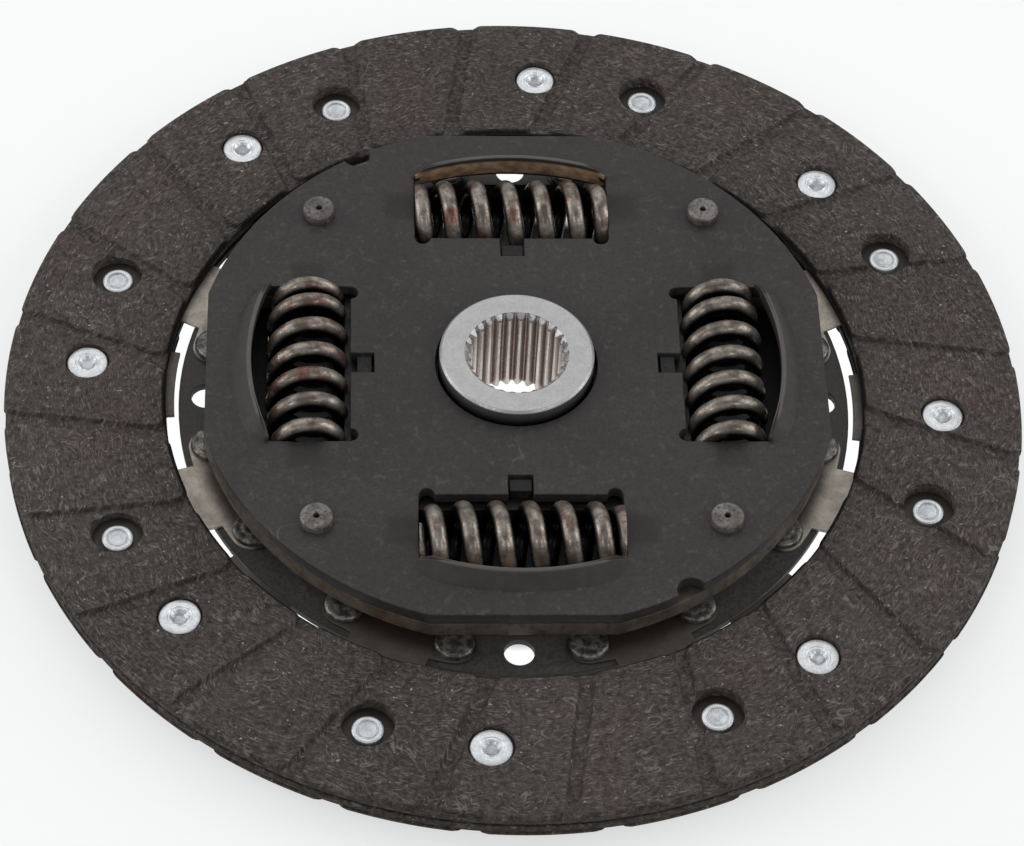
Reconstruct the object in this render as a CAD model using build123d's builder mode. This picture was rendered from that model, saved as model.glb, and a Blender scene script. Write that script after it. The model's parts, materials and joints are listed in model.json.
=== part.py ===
from build123d import *
import os
from math import asin, cos, degrees, radians, sin, sqrt, tan

# Clutch disc with a torsional damper, in millimetres and degrees.
# Z is the hub's axis, +Z the gearbox side, and z = 0 the end of the hub on the engine side.
# Angles are measured about +Z from +X. The spring windows lie on the X and Y axes.

# Clearances
running_gap = 0.05  # between faces that slide on each other
rivet_gap = 0.05  # round a shank in its hole
edge_gap = 0.5  # between edges that only pass each other

# Rivets, pins and their holes repeat so often that they are many-sided, not round.
rivet_sides = 8

# Friction facings
facing_radius = 114.0
facing_thickness = 3.15
facing_to_plate_gap = 3.0
groove_count = 24
groove_width = 2.4
groove_depth = 1.2
groove_lean = 14.3
pad_corner = 2.0
gearbox_groove_angle = 6.5
engine_groove_angle = 4.15

# Rivets through a facing and a cushion segment
facing_rivet_shank = 2.5
facing_rivet_head = 4.55
facing_rivet_head_thickness = 0.95
facing_rivet_tail = 3.5
facing_rivet_tail_height = 0.95
counterbore_gap = 0.45  # round a head
head_recess = 1.0  # of a head below the friction face
access_gap = 2.2  # round a tail

# Cushion segments
segment_count = 8
segment_thickness = 0.7
segment_lift = 0.45  # of the paddle's low side over the foot
cushion_travel = 0.3
first_neck_angle = 22.2
neck_half_width = 8.95
neck_bore_gap = 1.0  # inside the facings' bore, where the neck has reached their height
paddle_start = -16.8  # angles from the neck's middle
paddle_end = 27.3
lobe_start = 13.5
low_rivet_angle = 2.6
high_rivet_angle = 18.3
wave_start = 12.0  # distances along the paddle from the neck's middle
wave_end = 22.0
paddle_rim_inset = 1.5
paddle_bore_inset = 1.3
lobe_overhang = 2.1
foot_margin = 0.45  # round a foot rivet's head
foot_rivet_angle = 10.6
foot_rivet_shank = 2.5
foot_rivet_head = 4.35
foot_rivet_head_height = 1.5
foot_rivet_tail = 3.6
foot_rivet_tail_height = 1.5

# Drive plate, with a raised middle
plate_height = 5.4  # of its underside over the hub's end
plate_thickness = 2.0
plate_edge = 6.1  # outside the foot rivets' circle
plate_spring_gap = 0.25
pan_rise = 3.2
pan_land = 4.2  # outside the cover's windows
pan_flat_land = 2.6
pan_boss_margin = 2.3  # round a spacer pin's shoulder
round_hole_radius = 3.3
round_hole_angle = -0.7

# Hub
hub_length = 24.0
hub_radius = 17.3
hub_chamfer = 0.6
spline_teeth = 28
spline_minor_radius = 10.25
spline_depth = 1.25
spline_space_width = 1.7  # between the teeth's tips
spline_space_taper = 62.0
mouth_margin = 0.1  # outside the splines
collar_teeth = 16
collar_root = 2.0  # over the hub's radius
collar_tip = 3.5
collar_tooth_width = 3.6

# Hub flange
flange_thickness = 4.0
flange_outline_inset = 0.35
flange_window_depth = 3.9  # beyond the cover's window
slot_travel = 8.15

# Cover plate
cover_thickness = 3.0
cover_rim_inset = 3.65
cover_flat_inset = 2.9
cover_hub_gap = 0.7
edge_notch_radius = 3.15
edge_notch_angle = 119.7
window_relief_radius = 1.7
window_relief_inset = 1.8
recess_length = 7.3
recess_width = 8.0
recess_depth = 0.25
lip_overrun = 0.3  # angle past a window's corners
lip_wall_height = 1.2
lip_height = 3.6
lip_ridge_start = 0.5
lip_ridge_end = 1.3
lip_foot = 3.4

# Damper springs
spring_count = 4
spring_circle = 46.5
spring_radius = 9.1
spring_wire = 4.1
spring_length = 44.3
spring_pitch = 7.15
spring_rise = 1.2  # of its axis over the flange's middle
spring_sides = 6
spring_steps = 8  # straight stretches in one turn
spring_end_gap = 0.05
window_inner_gap = 0.5
window_corner_gap = 0.1  # outside a spring's ends, where they pass the cover

# Spacer pins
pin_count = 4
pin_first_angle = 45.0
pin_shoulder = 4.3
pin_neck = 2.75
pin_head = 3.6
pin_head_height = 2.3
pin_slot_gap = 0.4

# Friction rings, disc spring and centring bush
gearbox_ring_thickness = 0.75
engine_ring_thickness = 0.9
lug_width = 4.9
lug_depth = 3.2
lug_height = 2.95
lug_side_gap = 0.3
lug_window_gap = 1.5
lug_end_gap = 0.6
ring_notch_gap = 1.6
disc_spring_width = 5.0
disc_spring_height = 1.05
disc_spring_thickness = 0.5
bush_wall = 2.95
bush_flange_width = 2.5
bush_flange_thickness = 1.2

# Heights
plate_top = plate_height + plate_thickness
engine_facing_top = plate_top + segment_lift
gearbox_facing_bottom = engine_facing_top + segment_thickness + cushion_travel
middle_height = (engine_facing_top + gearbox_facing_bottom) / 2
pan_bottom = plate_height + pan_rise
pan_top = pan_bottom + plate_thickness
engine_ring_bottom = pan_top + disc_spring_height
flange_bottom = engine_ring_bottom + engine_ring_thickness + running_gap
flange_top = flange_bottom + flange_thickness
gearbox_ring_bottom = flange_top + running_gap
cover_bottom = gearbox_ring_bottom + gearbox_ring_thickness
cover_top = cover_bottom + cover_thickness
spring_height = flange_bottom + flange_thickness / 2 + spring_rise


def spring_half_width(height):
    """Half the width of a spring's outside, seen from above, where it passes a height."""
    return sqrt(spring_radius**2 - (spring_height - height) ** 2)


# Radii, from the springs outwards
window_half_length = spring_length / 2 + spring_end_gap
window_inner = spring_circle - spring_radius - window_inner_gap
cover_corner = spring_circle + spring_half_width(cover_bottom) + window_corner_gap
window_outer = sqrt(window_half_length**2 + cover_corner**2)
lip_half_angle = degrees(asin(window_half_length / window_outer)) + lip_overrun
plate_window_half_width = spring_half_width(pan_top) + plate_spring_gap
foot_half_width = foot_rivet_head + foot_margin
pin_circle = window_outer + pan_flat_land
pan_radius = window_outer + pan_land
foot_rivet_circle = pan_radius + edge_gap + foot_half_width
plate_radius = foot_rivet_circle + plate_edge
cover_radius = plate_radius - cover_rim_inset
cover_flat = cover_radius - cover_flat_inset
facing_bore_radius = plate_radius + facing_to_plate_gap
band_middle = (facing_radius + facing_bore_radius) / 2
counterbore_radius = facing_rivet_head + counterbore_gap
counterbore_depth = facing_rivet_head_thickness + head_recess
access_hole_radius = facing_rivet_tail + access_gap
pan_boss_radius = pin_shoulder + pan_boss_margin
lug_outer = window_inner - lug_window_gap
lug_inner = lug_outer - lug_depth
notch_inner = lug_inner - lug_end_gap
ring_radius = notch_inner - ring_notch_gap
collar_root_radius = hub_radius + collar_root
spline_major_radius = spline_minor_radius + spline_depth
mouth_radius = spline_major_radius + mouth_margin
bush_radius = hub_radius + running_gap + bush_wall
disc_spring_inner = bush_radius + edge_gap
disc_spring_outer = disc_spring_inner + disc_spring_width


def polar(radius, angle, height=0.0):
    return (radius * cos(radians(angle)), radius * sin(radians(angle)), height)


def meridian(angle):
    """The upright plane through the hub's axis at an angle: its x runs outwards and its y up."""
    return Plane(origin=(0, 0, 0), x_dir=polar(1, angle), z_dir=polar(1, angle - 90))


def write(piece, name):
    piece.part.label = name
    export_step(piece.part, f"parts/{name}.step")


def window_outline(outer, inner):
    """A spring window on +Y: straight ends and inner edge, and an outer edge round the hub's axis."""
    shoulder = sqrt(outer**2 - window_half_length**2)
    with BuildSketch(mode=Mode.PRIVATE) as window:
        with BuildLine():
            Polyline(
                (-window_half_length, shoulder),
                (-window_half_length, inner),
                (window_half_length, inner),
                (window_half_length, shoulder),
            )
            ThreePointArc((window_half_length, shoulder), (0, outer), (-window_half_length, shoulder))
        make_face()
    return window.sketch


def four_sided(radius, flat):
    """A disc with a flat on each axis."""
    with BuildSketch(mode=Mode.PRIVATE) as outline:
        Circle(radius)
        Rectangle(2 * flat, 2 * flat, mode=Mode.INTERSECT)
    return outline.sketch


os.makedirs("parts", exist_ok=True)


# Friction facings: a ring with raised pads between slanting grooves. Every second hole is
# counterbored for a rivet's head, and those between give access to the other facing's rivets.
gearbox_rivet_angle = first_neck_angle + high_rivet_angle
engine_rivet_angle = first_neck_angle + low_rivet_angle


def make_facing(back, groove_angle, head_angle, access_angle):
    pad_base = back.offset(facing_thickness - groove_depth)
    with BuildPart() as facing:
        with BuildSketch(back):
            Circle(facing_radius)
            Circle(facing_bore_radius, mode=Mode.SUBTRACT)
        extrude(amount=facing_thickness - groove_depth)
        with BuildSketch(pad_base) as pads:
            Circle(facing_radius)
            Circle(facing_bore_radius, mode=Mode.SUBTRACT)
            with PolarLocations(band_middle, groove_count, start_angle=groove_angle):
                groove_length = 2 * (facing_radius - facing_bore_radius)
                Rectangle(groove_length, groove_width, rotation=-groove_lean, mode=Mode.SUBTRACT)
            chamfer(pads.vertices(), pad_corner)
        extrude(amount=groove_depth)
        for radius, depth, angle in (
            (facing_rivet_shank + rivet_gap, facing_thickness, head_angle),
            (counterbore_radius, counterbore_depth, head_angle),
            (access_hole_radius, facing_thickness, access_angle),
        ):
            with BuildSketch(back.offset(facing_thickness)):
                with PolarLocations(band_middle, segment_count, start_angle=angle):
                    RegularPolygon(radius, rivet_sides)
            extrude(amount=-depth, mode=Mode.SUBTRACT)
    return facing


gearbox_back = Plane.XY.offset(gearbox_facing_bottom)
facing_gearbox_side = make_facing(gearbox_back, gearbox_groove_angle, gearbox_rivet_angle, engine_rivet_angle)
write(facing_gearbox_side, "facing_gearbox_side")

# This one faces down, so its plane is turned over and its angles run the other way.
engine_back = Plane(origin=(0, 0, engine_facing_top), x_dir=(1, 0, 0), z_dir=(0, 0, -1))
facing_engine_side = make_facing(engine_back, engine_groove_angle, -engine_rivet_angle, -gearbox_rivet_angle)
write(facing_engine_side, "facing_engine_side")


# Facing rivets: the head lies in one facing's counterbore and the tail on the cushion segment.
def make_facing_rivets(start_angle, side):
    facing_back = middle_height + side * (segment_thickness + cushion_travel) / 2
    head_seat = facing_back + side * (facing_thickness - counterbore_depth)
    tail_seat = facing_back - side * segment_thickness
    with BuildPart() as rivets:
        for radius, start, height in (
            (facing_rivet_head, head_seat, facing_rivet_head_thickness),
            (facing_rivet_shank, tail_seat, abs(head_seat - tail_seat)),
            (facing_rivet_tail, tail_seat, -facing_rivet_tail_height),
        ):
            with BuildSketch(Plane.XY.offset(start)):
                with PolarLocations(band_middle, segment_count, start_angle=start_angle):
                    RegularPolygon(radius, rivet_sides)
            extrude(amount=side * height)
    return rivets


facing_rivets_gearbox_side = make_facing_rivets(gearbox_rivet_angle, 1)
write(facing_rivets_gearbox_side, "facing_rivets_gearbox_side")
facing_rivets_engine_side = make_facing_rivets(engine_rivet_angle, -1)
write(facing_rivets_engine_side, "facing_rivets_engine_side")


# Cushion segments: thin spring steel, with a foot riveted to the drive plate, a neck that climbs
# to the facings and a paddle that steps from the engine-side facing up to the gearbox-side one.
foot_outer = foot_rivet_circle + foot_half_width
paddle_inner = facing_bore_radius + paddle_bore_inset
paddle_outer = facing_radius - paddle_rim_inset
lobe_inner = facing_bore_radius - lobe_overhang
neck_top = facing_bore_radius - neck_bore_gap
high_height = engine_facing_top + cushion_travel


def sheet_section(points):
    """The section of a thin sheet: a line of points, and the same line raised by the thickness."""
    raised = [(along, height + segment_thickness) for along, height in reversed(points)]
    with BuildSketch(mode=Mode.PRIVATE) as section:
        with BuildLine():
            Polyline(*points, *raised, close=True)
        make_face()
    return section.sketch


with BuildPart() as paddle:
    with BuildSketch(Plane.YZ):
        add(sheet_section([
            (-facing_radius, engine_facing_top),
            (wave_start, engine_facing_top),
            (wave_end, high_height),
            (facing_radius, high_height),
        ]))
    extrude(amount=facing_radius)
    with BuildSketch():
        with BuildLine():
            rim = CenterArc((0, 0), paddle_outer, paddle_start, paddle_end - paddle_start)
            low_edge = CenterArc((0, 0), paddle_inner, paddle_start, lobe_start - paddle_start)
            lobe_edge = CenterArc((0, 0), lobe_inner, lobe_start, paddle_end - lobe_start)
            Line(rim @ 0, low_edge @ 0)
            Line(low_edge @ 1, lobe_edge @ 0)
            Line(lobe_edge @ 1, rim @ 1)
        make_face()
    extrude(amount=cover_top, mode=Mode.INTERSECT)

with BuildPart() as foot:
    with BuildSketch(Plane.XZ):
        add(sheet_section([
            (0, plate_top),
            (foot_outer, plate_top),
            (neck_top, engine_facing_top),
            (paddle_inner + segment_thickness, engine_facing_top),
        ]))
    extrude(amount=facing_radius, both=True)
    with BuildSketch():
        foot_line = CenterArc((0, 0), foot_rivet_circle, -foot_rivet_angle, 2 * foot_rivet_angle)
        SlotArc(foot_line, 2 * foot_half_width)
        with Locations((foot_rivet_circle, 0)):
            Rectangle(facing_radius, 2 * neck_half_width, align=(Align.MIN, Align.CENTER))
    extrude(amount=cover_top, mode=Mode.INTERSECT)

for number in range(segment_count):
    with BuildPart() as segment:
        add(paddle.part)
        add(foot.part)
        with BuildSketch():
            for circle, shank, angle in (
                (band_middle, facing_rivet_shank, low_rivet_angle),
                (band_middle, facing_rivet_shank, high_rivet_angle),
                (foot_rivet_circle, foot_rivet_shank, -foot_rivet_angle),
                (foot_rivet_circle, foot_rivet_shank, foot_rivet_angle),
            ):
                with PolarLocations(circle, 1, start_angle=angle):
                    RegularPolygon(shank + rivet_gap, rivet_sides)
        extrude(amount=cover_top, mode=Mode.SUBTRACT)
    with BuildPart() as turned_segment:
        add(segment.part, rotation=(0, 0, first_neck_angle + number * 360 / segment_count))
    write(turned_segment, f"cushion_segment_{number + 1}")


# Foot rivets: two for each segment, headed on the gearbox side.
with BuildPart() as segment_rivets:
    head_seat = plate_top + segment_thickness
    for radius, start, height in (
        (foot_rivet_head, head_seat, foot_rivet_head_height),
        (foot_rivet_shank, plate_height, head_seat - plate_height),
        (foot_rivet_tail, plate_height, -foot_rivet_tail_height),
    ):
        for angle in (first_neck_angle - foot_rivet_angle, first_neck_angle + foot_rivet_angle):
            with BuildSketch(Plane.XY.offset(start)):
                with PolarLocations(foot_rivet_circle, segment_count, start_angle=angle):
                    RegularPolygon(radius, rivet_sides)
            extrude(amount=height)
write(segment_rivets, "segment_rivets")


# Drive plate: a flat rim that carries the segments and a raised middle, pressed from one sheet.
# The middle follows a four-sided outline with a round boss for each spacer pin.
def pan_outline(inset):
    with BuildSketch(mode=Mode.PRIVATE) as outline:
        Circle(pan_radius - inset)
        Rectangle(2 * (pin_circle - inset), 2 * (pin_circle - inset), mode=Mode.INTERSECT)
        with PolarLocations(pin_circle, pin_count, start_angle=pin_first_angle):
            Circle(pan_boss_radius - inset)
    return outline.sketch


with BuildPart() as drive_plate:
    with BuildSketch(Plane.XY.offset(plate_height)):
        Circle(plate_radius)
    extrude(amount=plate_thickness)
    with BuildSketch(Plane.XY.offset(plate_height)):
        add(pan_outline(0))
    extrude(amount=pan_rise + plate_thickness)
    with BuildSketch(Plane.XY.offset(plate_height)):
        add(pan_outline(plate_thickness))
    extrude(amount=pan_rise, mode=Mode.SUBTRACT)
    with BuildSketch(Plane.XY.offset(plate_height)):
        Circle(bush_radius)
        with PolarLocations(spring_circle, spring_count):
            Rectangle(2 * plate_window_half_width, 2 * window_half_length)
        with PolarLocations(pin_circle, pin_count, start_angle=pin_first_angle):
            RegularPolygon(pin_neck + rivet_gap, rivet_sides)
        with PolarLocations(foot_rivet_circle, spring_count, start_angle=round_hole_angle):
            Circle(round_hole_radius)
        for angle in (first_neck_angle - foot_rivet_angle, first_neck_angle + foot_rivet_angle):
            with PolarLocations(foot_rivet_circle, segment_count, start_angle=angle):
                RegularPolygon(foot_rivet_shank + rivet_gap, rivet_sides)
    extrude(amount=cover_top, mode=Mode.SUBTRACT)
write(drive_plate, "drive_plate")


# Hub: a turned sleeve with a splined bore and a toothed collar that the flange sits on.
def toothed_collar(gap):
    with BuildSketch(mode=Mode.PRIVATE) as collar:
        Circle(collar_root_radius + gap)
        with PolarLocations(collar_root_radius, collar_teeth):
            Rectangle(2 * (collar_tip - collar_root + gap), collar_tooth_width + 2 * gap)
    return collar.sketch


with BuildPart() as hub:
    Cylinder(hub_radius, hub_length, align=(Align.CENTER, Align.CENTER, Align.MIN))
    chamfer(hub.edges().filter_by(GeomType.CIRCLE), hub_chamfer)
    with BuildSketch(Plane.XY.offset(flange_bottom)):
        add(toothed_collar(0))
    extrude(amount=flange_thickness)
    with BuildSketch():
        Circle(spline_minor_radius)
        base_width = spline_space_width + 2 * spline_depth / tan(radians(spline_space_taper))
        on_base = (Align.CENTER, Align.MIN)
        with PolarLocations(spline_minor_radius - spline_depth, spline_teeth):
            Trapezoid(base_width, 2 * spline_depth, spline_space_taper, rotation=-90, align=on_base)
    extrude(amount=hub_length, mode=Mode.SUBTRACT)
    with BuildSketch(meridian(0)):
        mouth_depth = mouth_radius - spline_minor_radius
        with BuildLine():
            Polyline(
                (0, hub_length),
                (mouth_radius, hub_length),
                (spline_minor_radius, hub_length - mouth_depth),
                (0, hub_length - mouth_depth),
                close=True,
            )
        make_face()
    revolve(axis=Axis.Z, mode=Mode.SUBTRACT)
write(hub, "hub")


# Hub flange: turns with the hub between the two plates and carries the springs' ends.
with BuildPart() as hub_flange:
    with BuildSketch(Plane.XY.offset(flange_bottom)):
        add(four_sided(cover_radius - flange_outline_inset, cover_flat - flange_outline_inset))
        add(toothed_collar(rivet_gap), mode=Mode.SUBTRACT)
        window = window_outline(window_outer + flange_window_depth, window_inner)
        with PolarLocations(0, spring_count):
            add(window, mode=Mode.SUBTRACT)
        for number in range(pin_count):
            angle = pin_first_angle + number * 360 / pin_count
            SlotArc(
                CenterArc((0, 0), pin_circle, angle - slot_travel, 2 * slot_travel),
                2 * (pin_shoulder + pin_slot_gap),
                mode=Mode.SUBTRACT,
            )
    extrude(amount=flange_thickness)
write(hub_flange, "hub_flange")


# Cover plate, with a raised lip along each window's outer edge and a shallow recess at its ends.
with BuildPart() as cover_plate:
    with BuildSketch(Plane.XY.offset(cover_bottom)):
        add(four_sided(cover_radius, cover_flat))
    extrude(amount=cover_thickness)
    for number in range(spring_count):
        with BuildSketch(meridian(number * 360 / spring_count - lip_half_angle)):
            with BuildLine():
                Polyline(
                    (window_outer, cover_top - cover_thickness / 2),
                    (window_outer, cover_top + lip_wall_height),
                    (window_outer + lip_ridge_start, cover_top + lip_height),
                    (window_outer + lip_ridge_end, cover_top + lip_height),
                    (window_outer + lip_foot, cover_top),
                    (window_outer + lip_foot, cover_top - cover_thickness / 2),
                    close=True,
                )
            make_face()
        revolve(axis=Axis.Z, revolution_arc=2 * lip_half_angle)
    with BuildSketch(Plane.XY.offset(cover_bottom)):
        Circle(hub_radius + cover_hub_gap)
        window = window_outline(window_outer, window_inner)
        with PolarLocations(0, spring_count):
            add(window)
        with PolarLocations(0, spring_count):
            with Locations((0, (window_inner + notch_inner) / 2)):
                Rectangle(lug_width + 2 * lug_side_gap, window_inner - notch_inner)
            with Locations(
                (window_half_length - window_relief_inset, window_inner),
                (window_relief_inset - window_half_length, window_inner),
            ):
                Circle(window_relief_radius)
        with PolarLocations(pin_circle, pin_count, start_angle=pin_first_angle):
            RegularPolygon(pin_neck + rivet_gap, rivet_sides)
        with PolarLocations(cover_radius, 2, start_angle=edge_notch_angle):
            Circle(edge_notch_radius)
    extrude(amount=cover_thickness + lip_height, mode=Mode.SUBTRACT)
    with BuildSketch(Plane.XY.offset(cover_top)):
        with PolarLocations(0, spring_count):
            with GridLocations(2 * window_half_length + recess_length, 0, 2, 1):
                with Locations((0, spring_circle)):
                    Rectangle(recess_length, recess_width)
    extrude(amount=-recess_depth, mode=Mode.SUBTRACT)
write(cover_plate, "cover_plate")


# Spacer pins: a shoulder keeps the two plates apart, and each end is headed over its plate.
with BuildPart() as spacer_pins:
    for radius, bottom, top in (
        (pin_head, pan_bottom - pin_head_height, pan_bottom),
        (pin_neck, pan_bottom, pan_top),
        (pin_shoulder, pan_top, cover_bottom),
        (pin_neck, cover_bottom, cover_top),
        (pin_head, cover_top, cover_top + pin_head_height),
    ):
        with BuildSketch(Plane.XY.offset(bottom)):
            with PolarLocations(pin_circle, pin_count, start_angle=pin_first_angle):
                RegularPolygon(radius, rivet_sides)
        extrude(amount=top - bottom)
write(spacer_pins, "spacer_pins")


# Damper springs: a many-sided wire along a right-handed helix, ground flat at both ends.
coil_radius = spring_radius - spring_wire / 2
wound_length = spring_length + spring_wire
step_count = round(spring_steps * wound_length / spring_pitch)

for number in range(spring_count):
    turn = 90 + number * 360 / spring_count
    middle = Plane(
        origin=polar(spring_circle, turn, spring_height), x_dir=polar(1, turn), z_dir=polar(1, turn - 90)
    )
    path = []
    for step in range(step_count + 1):
        angle = 360 * step / spring_steps
        along = wound_length * (step / step_count - 0.5)
        path.append(middle.from_local_coords(polar(coil_radius, angle, along)))
    with BuildPart() as damper_spring:
        with BuildLine():
            helix = Polyline(*path)
        with BuildSketch(Plane(origin=helix @ 0, z_dir=helix % 0)):
            RegularPolygon(spring_wire / 2, spring_sides)
        sweep(transition=Transition.RIGHT)
        with BuildSketch(middle.offset(-spring_length / 2)):
            Circle(spring_radius + spring_wire)
        extrude(amount=spring_length, mode=Mode.INTERSECT)
    write(damper_spring, f"damper_spring_{number + 1}")


# Friction ring on the gearbox side: its lugs stand in the cover's windows, so it turns with it.
with BuildPart() as friction_ring_gearbox_side:
    with BuildSketch(Plane.XY.offset(gearbox_ring_bottom)):
        Circle(ring_radius)
        with PolarLocations(lug_outer / 2, spring_count):
            Rectangle(lug_outer, lug_width)
        Circle(collar_root_radius + edge_gap, mode=Mode.SUBTRACT)
    extrude(amount=gearbox_ring_thickness)
    with BuildSketch(Plane.XY.offset(cover_bottom)):
        with PolarLocations((lug_inner + lug_outer) / 2, spring_count):
            Rectangle(lug_depth, lug_width)
    extrude(amount=lug_height - gearbox_ring_thickness)
write(friction_ring_gearbox_side, "friction_ring_gearbox_side")

# On the engine side a disc spring presses a plain friction ring against the flange.
with BuildPart() as friction_ring_engine_side:
    with BuildSketch(Plane.XY.offset(engine_ring_bottom)):
        Circle(ring_radius)
        Circle(collar_root_radius + edge_gap, mode=Mode.SUBTRACT)
    extrude(amount=engine_ring_thickness)
write(friction_ring_engine_side, "friction_ring_engine_side")

with BuildPart() as disc_spring:
    with BuildSketch(meridian(0)):
        cone_rise = disc_spring_height - disc_spring_thickness
        with BuildLine():
            Polyline(
                (disc_spring_inner, pan_top + cone_rise),
                (disc_spring_outer, pan_top),
                (disc_spring_outer, pan_top + disc_spring_thickness),
                (disc_spring_inner, pan_top + disc_spring_height),
                close=True,
            )
        make_face()
    revolve(axis=Axis.Z)
write(disc_spring, "disc_spring")

# Centring bush: guides the drive plate on the hub.
with BuildPart() as centring_bush:
    with BuildSketch(Plane.XY.offset(pan_bottom - bush_flange_thickness)):
        Circle(bush_radius + bush_flange_width)
    extrude(amount=bush_flange_thickness)
    with BuildSketch(Plane.XY.offset(pan_bottom)):
        Circle(bush_radius)
    extrude(amount=plate_thickness)
    with BuildSketch(Plane.XY.offset(pan_bottom - bush_flange_thickness)):
        Circle(hub_radius + running_gap)
    extrude(amount=bush_flange_thickness + plate_thickness, mode=Mode.SUBTRACT)
write(centring_bush, "centring_bush")
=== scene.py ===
import json
import math
import random

import bmesh
import bpy
from mathutils import Matrix, Vector

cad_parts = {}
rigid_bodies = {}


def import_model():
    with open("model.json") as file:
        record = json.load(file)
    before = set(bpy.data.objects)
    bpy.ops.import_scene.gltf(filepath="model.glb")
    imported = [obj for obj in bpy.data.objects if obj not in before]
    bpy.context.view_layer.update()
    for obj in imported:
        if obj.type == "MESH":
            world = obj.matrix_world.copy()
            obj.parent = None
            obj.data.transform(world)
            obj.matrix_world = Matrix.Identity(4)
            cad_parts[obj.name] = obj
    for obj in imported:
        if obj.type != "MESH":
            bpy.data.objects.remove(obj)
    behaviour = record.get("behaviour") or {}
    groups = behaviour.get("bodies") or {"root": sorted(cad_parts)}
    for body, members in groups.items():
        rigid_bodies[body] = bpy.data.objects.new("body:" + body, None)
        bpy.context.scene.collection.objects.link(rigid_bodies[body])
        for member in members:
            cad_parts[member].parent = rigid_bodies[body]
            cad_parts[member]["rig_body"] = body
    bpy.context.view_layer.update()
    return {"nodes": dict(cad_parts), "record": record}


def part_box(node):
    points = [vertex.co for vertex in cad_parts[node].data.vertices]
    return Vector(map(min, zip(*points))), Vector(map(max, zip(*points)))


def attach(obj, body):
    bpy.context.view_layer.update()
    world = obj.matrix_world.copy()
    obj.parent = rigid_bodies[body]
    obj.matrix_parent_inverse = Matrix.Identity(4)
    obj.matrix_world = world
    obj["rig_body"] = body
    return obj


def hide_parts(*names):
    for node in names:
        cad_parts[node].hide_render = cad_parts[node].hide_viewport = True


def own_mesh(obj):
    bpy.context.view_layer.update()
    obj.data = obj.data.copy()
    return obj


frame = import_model()

MM = 0.001

# Sizes of the CAD part that the looks and the pieces follow, in millimetres and degrees.
COVER_BOTTOM = 17.4
COVER_TOP = 20.4
HUB_TOP = 24.0
FACING_RADIUS = 114.0
FACING_BORE = 78.43
BAND_MIDDLE = 96.21  # the circle of the facings' rivets
SEGMENT_COUNT = 8
SEGMENT_STEP = 360 / SEGMENT_COUNT
NECK_ANGLE = 22.2  # of the first cushion segment's neck
SPRING_CIRCLE = 46.5
WINDOW_INNER = 36.9  # from the hub's axis, square to the window
WINDOW_OUTER = 59.83
WINDOW_HALF_LENGTH = 22.2
RECESS_HALF_LENGTH = 3.65
RECESS_HALF_WIDTH = 4.0
RECESS_DEPTH = 0.25
LIP_FOOT = 3.4  # outside the window

LIP_LEAN = 0.222  # how far a lip leans inwards for its height


# ------------------------ camera

FOCAL_LENGTH = 125.45  # millimetres on a sensor of SENSOR_WIDTH
SENSOR_WIDTH = 36.0
CAMERA_PLACE = Vector((-36.81, -504.4, 632.7)) * MM
CAMERA_TARGET = Vector((-0.98, -10.55, 12.0)) * MM
CAMERA_ROLL = 3.294  # degrees


def add_camera():
    camera = bpy.data.objects.new("camera", bpy.data.cameras.new("camera"))
    bpy.context.scene.collection.objects.link(camera)
    camera.data.lens = FOCAL_LENGTH
    camera.data.sensor_width = SENSOR_WIDTH
    camera.data.sensor_fit = "HORIZONTAL"
    camera.data.clip_start = 0.01
    camera.location = CAMERA_PLACE
    look = (CAMERA_TARGET - CAMERA_PLACE).to_track_quat("-Z", "Y")
    roll = Matrix.Rotation(math.radians(CAMERA_ROLL), 3, "Z")
    camera.rotation_euler = (look.to_matrix() @ roll).to_euler()
    bpy.context.scene.camera = camera


# ------------------------ materials

YARN_TURNS = 52.0  # of the friction lining's yarn: how many wisps lie along a radian
YARN_WIDTH = 0.4 * MM


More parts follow.
